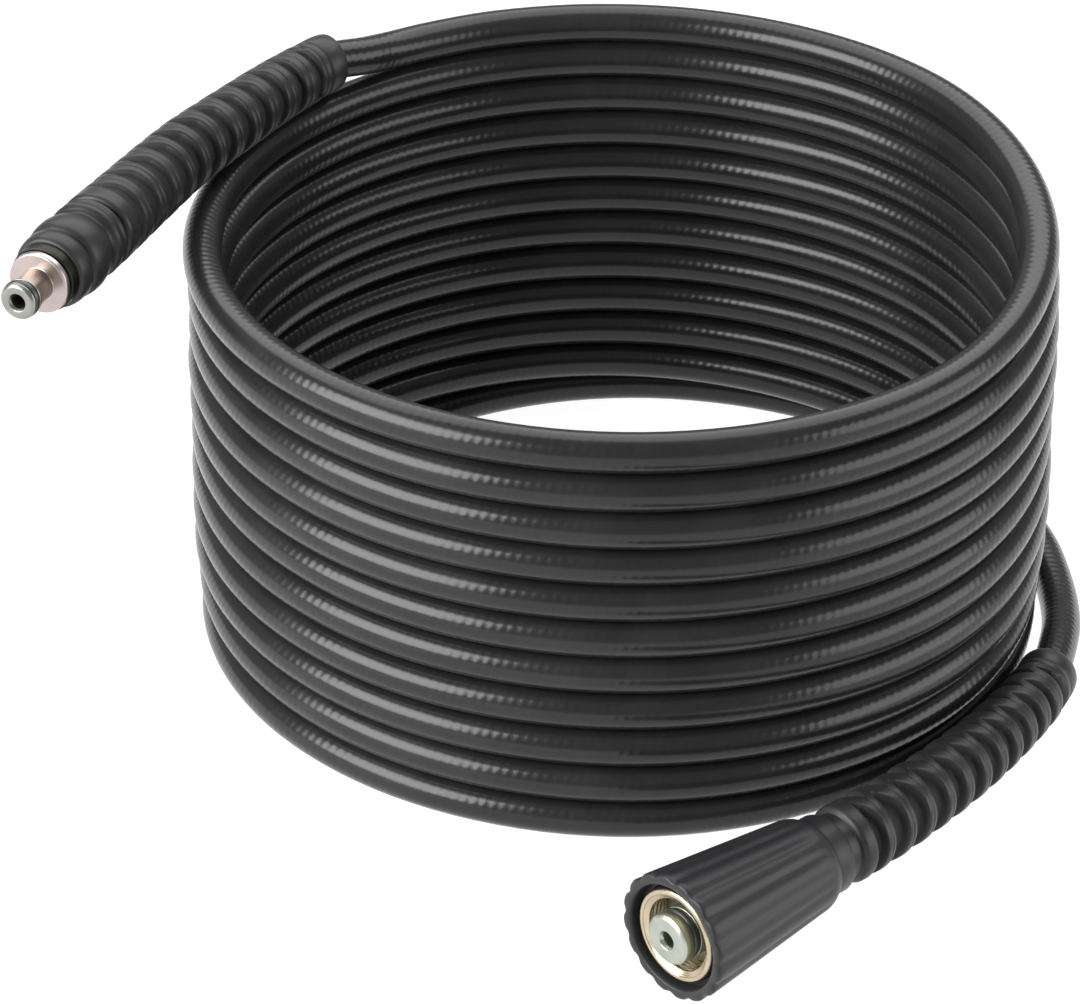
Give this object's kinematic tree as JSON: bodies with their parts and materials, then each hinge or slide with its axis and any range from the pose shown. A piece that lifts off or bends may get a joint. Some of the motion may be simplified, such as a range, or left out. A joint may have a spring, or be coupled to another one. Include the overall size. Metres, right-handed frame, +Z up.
{
  "type": "pressure washer hose",
  "caption": "Rubber high-pressure hose wound in an upright coil, with a ribbed boot and a sealing plug on one end and a ribbed boot and a swivelling screw nut on the other.",
  "frame": {"origin": "On the floor, below the middle of the part's plan; the coil's axis stands at x -0.0229, y 0.0212.", "axes": "+Z is up along the coil's axis; -Y is the way that the screw nut's open face points; +X completes a right-handed frame."},
  "size_m": [0.3136, 0.314, 0.159],
  "materials": {
    "hose_rubber": "satin black rubber with a faint cloth-wrapped texture",
    "boot_rubber": "matte moulded black rubber",
    "seal_rubber": "smooth black sealing rubber",
    "grip_plastic": "satin moulded black plastic",
    "zinc_steel": "turned steel, zinc plated, with a faint pink and yellow tint",
    "stem_steel": "turned steel, zinc plated, with a faint grey-green tint",
    "dark_steel": "dark crimped steel",
    "brass": "pale turned brass with cut threads"
  },
  "bodies": {
    "hose": {"hose_coil": "hose_rubber", "hose_lead_top": "hose_rubber", "hose_lead_tail": "hose_rubber", "plug_boot": "boot_rubber", "nut_boot": "boot_rubber", "plug_body": "zinc_steel", "plug_o_ring": "seal_rubber", "plug_ferrule": "dark_steel", "nut_stem": "stem_steel", "stem_o_ring": "seal_rubber", "nut_ferrule": "dark_steel"},
    "nut": {"nut_grip": "grip_plastic", "nut_insert": "brass"}
  },
  "joints": [
    {"name": "nut_swivel", "type": "hinge", "parent": "hose", "child": "nut", "pos_m": [0.13744, -0.08017, 0.01955], "axis": [0, -1, 0], "continuous": true}
  ]
}
